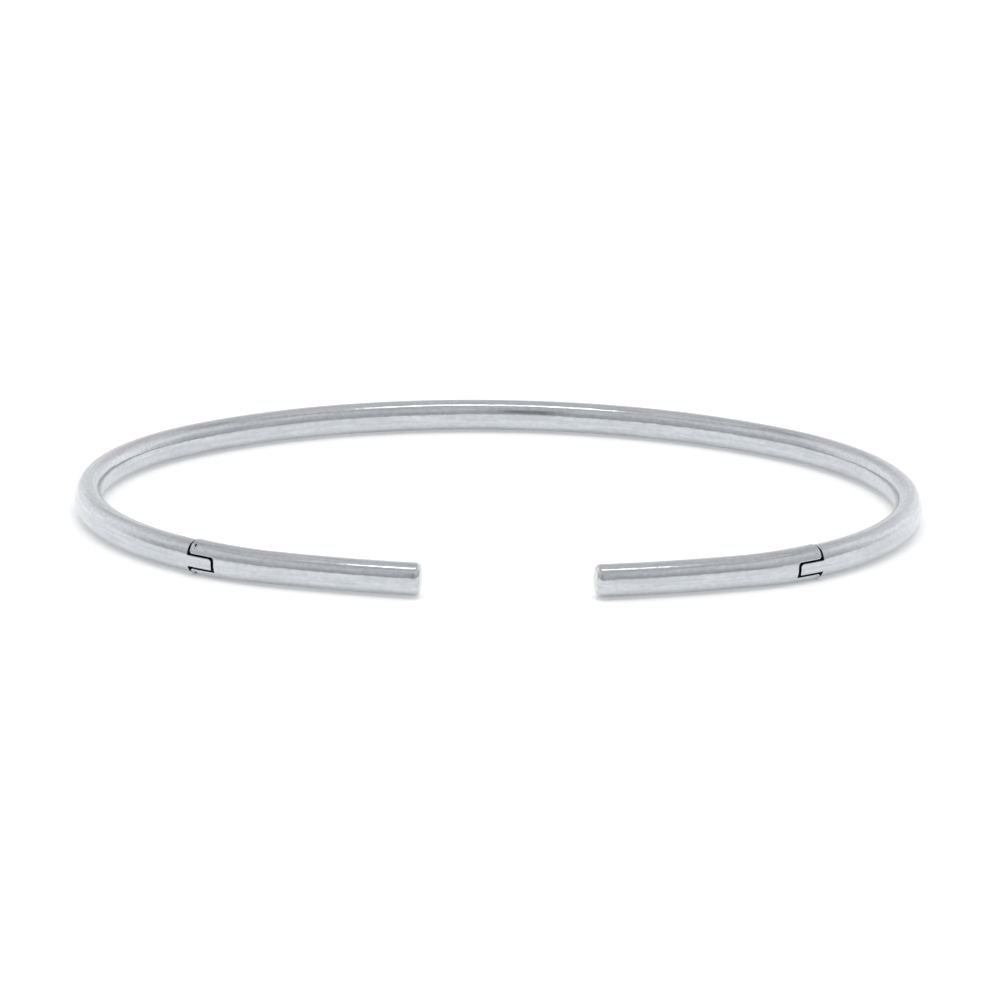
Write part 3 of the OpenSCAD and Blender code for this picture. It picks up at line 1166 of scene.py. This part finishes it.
@dataclass(frozen=True)
class Studio:
    """Pale floor, soft light all round, and the camera."""

    floor_size: float = 4.0
    floor_tone: float = 0.90
    floor_glow: float = 0.23
    room: float = 0.66
    front_wall: float = -0.12
    side_foot: float = -0.06
    side_walls: float = 0.24
    back_wall: float = 0.22
    back_corners: float = 0.85
    ceiling_line: float = -0.16
    person_shade: float = 0.55
    light_tint: tuple[float, float, float] = (0.985, 0.99, 1.0)
    boxes: tuple[SoftBox, ...] = (
        SoftBox("overhead_strip", (0.02, -0.17, 1.0), (0.68, 0.11), 3.6),
        SoftBox("floor_fill", (0.0, 0.0, 1.2), (1.0, 1.0), 1.35, in_metal=False),
    )
    distance: float = 0.450
    elevation: float = math.radians(14.65)
    turn: float = math.radians(1.9)
    roll: float = -0.0174
    lens_ratio: float = 5.945
    target: tuple[float, float, float] = (0.0, -0.000892, 0.0013)
    shift: tuple[float, float] = (0.0014, -0.0041)

    def floor(self) -> Piece:
        """Makes the floor as a level grid with a plain pale finish."""
        line = np.linspace(-self.floor_size / 2, self.floor_size / 2, 9)
        grid = np.stack([*np.meshgrid(line, line, indexing="ij"), np.zeros((9, 9))], -1)
        made = stand_up("floor", fill([grid]))
        paint = bpy.data.materials.new("pale_floor")
        paint.use_nodes = True
        tree = paint.node_tree
        tree.nodes.clear()
        white = (1.0, 1.0, 1.0, 1.0)
        add_node_output(tree, add_node(tree, "ShaderNodeBsdfPrincipled", {},
                                       {"Base Color": (*(self.floor_tone,) * 3, 1.0),
                                        "Roughness": 0.55, "Specular IOR Level": 0.2,
                                        "Emission Color": white,
                                        "Emission Strength": self.floor_glow}))
        made.data.materials.append(paint)
        return made

    def sky(self) -> None:
        """Lights the room from its walls and ceiling.

        With (x, y, z) the direction looked in, the tone is
        room + front_wall * step(-y) * low(z) + x^2 * (side_foot * low(z) + side_walls * high(z))
        + back_wall * step(y) * low(z)
        + back_corners * x^2 * max(y, 0) * low(z) + ceiling_line * band(z) * side(x), less a dim
        patch where the photographer stands, to the left of the camera.
        """
        world = bpy.data.worlds.new("soft_room")
        bpy.context.scene.world = world
        world.use_nodes = True
        tree = world.node_tree
        tree.nodes.clear()
        way = add_node(tree, "ShaderNodeTexCoord", {}, {}, "Generated")
        x, y, z = (add_node(tree, "ShaderNodeSeparateXYZ", {}, {0: way}, axis) for axis in "XYZ")
        front, ahead = y * -1.0, y.maths("MAXIMUM", y, 0.0)
        tone = self.room + self.front_wall * (step(front, 0.3, 0.8) * (1.0 - step(z, 0.02, 0.55)))
        tone = tone + (x * x) * (self.side_foot * (1.0 - step(z, 0.05, 0.35))
                                 + self.side_walls * step(z, 0.25, 0.60))
        tone = tone + self.back_wall * (step(y, 0.2, 0.8) * (1.0 - step(z, 0.20, 0.50)))
        tone = tone + self.back_corners * (x * x * ahead * (1.0 - step(z, 0.50, 0.80)))
        line = step(z, 0.74, 0.78) * (1.0 - step(z, 0.82, 0.86)) * step(x * x, 0.03, 0.12)
        tone = tone + self.ceiling_line * line
        person = (step(x, -0.30, -0.22) * (1.0 - step(x, -0.05, 0.03))
                  * step(z, 0.10, 0.16) * (1.0 - step(z, 0.50, 0.60)) * step(front, 0.4, 0.6))
        tone = tone * (1.0 - self.person_shade * person)
        back = add_node(tree, "ShaderNodeBackground", {},
                        {"Color": (*self.light_tint, 1.0), "Strength": tone})
        end = tree.nodes.new("ShaderNodeOutputWorld")
        tree.links.new(back.link, end.inputs["Surface"])

    def camera(self) -> Piece:
        """Places the camera by its distance, elevation, turn and roll about the target.

        Returns:
            The camera, set as the scene's.
        """
        ce, se = math.cos(self.elevation), math.sin(self.elevation)
        ct, st = math.cos(self.turn), math.sin(self.turn)
        ahead = Vector((ce * st, ce * ct, -se))
        right = Vector((ct, -st, 0.0))
        above = right.cross(ahead)
        c, s = math.cos(self.roll), math.sin(self.roll)
        across, upright = c * right - s * above, s * right + c * above
        data = bpy.data.cameras.new("camera")
        data.sensor_width, data.lens = 36.0, 36.0 * self.lens_ratio
        data.shift_x, data.shift_y = self.shift
        data.clip_start, data.clip_end = 0.01, 20.0
        made = bpy.data.objects.new("camera", data)
        turn = Matrix((across, upright, -ahead)).transposed()
        place = Vector(self.target) - ahead * self.distance
        made.matrix_world = Matrix.Translation(place) @ turn.to_4x4()
        bpy.context.scene.collection.objects.link(made)
        bpy.context.scene.camera = made
        return made

    def build(self) -> None:
        """Makes the whole studio and sets plain tone mapping."""
        self.camera()
        self.floor()
        self.sky()
        for box in self.boxes:
            box.build()
        bpy.context.scene.view_settings.view_transform = "Standard"


def main() -> None:
    """Builds the studio and every piece, dresses them and reports each."""
    logging.basicConfig(level=logging.INFO, format="%(name)s: %(message)s")
    Studio().build()
    wire = Wire()
    metals = {metal: metal.value.material() for metal in Metal}
    hinge_kinds = (HingeBlock, Fork, TipBar, HingePin, Plunger, Spring)
    for part in [Band(wire)] + [kind(wire, side) for side in Side for kind in hinge_kinds]:
        piece = part.build()
        part.dress(piece, metals)
        log.info("%s: %d faces", piece.name, len(piece.data.polygons))


if __name__ == "__main__":
    main()
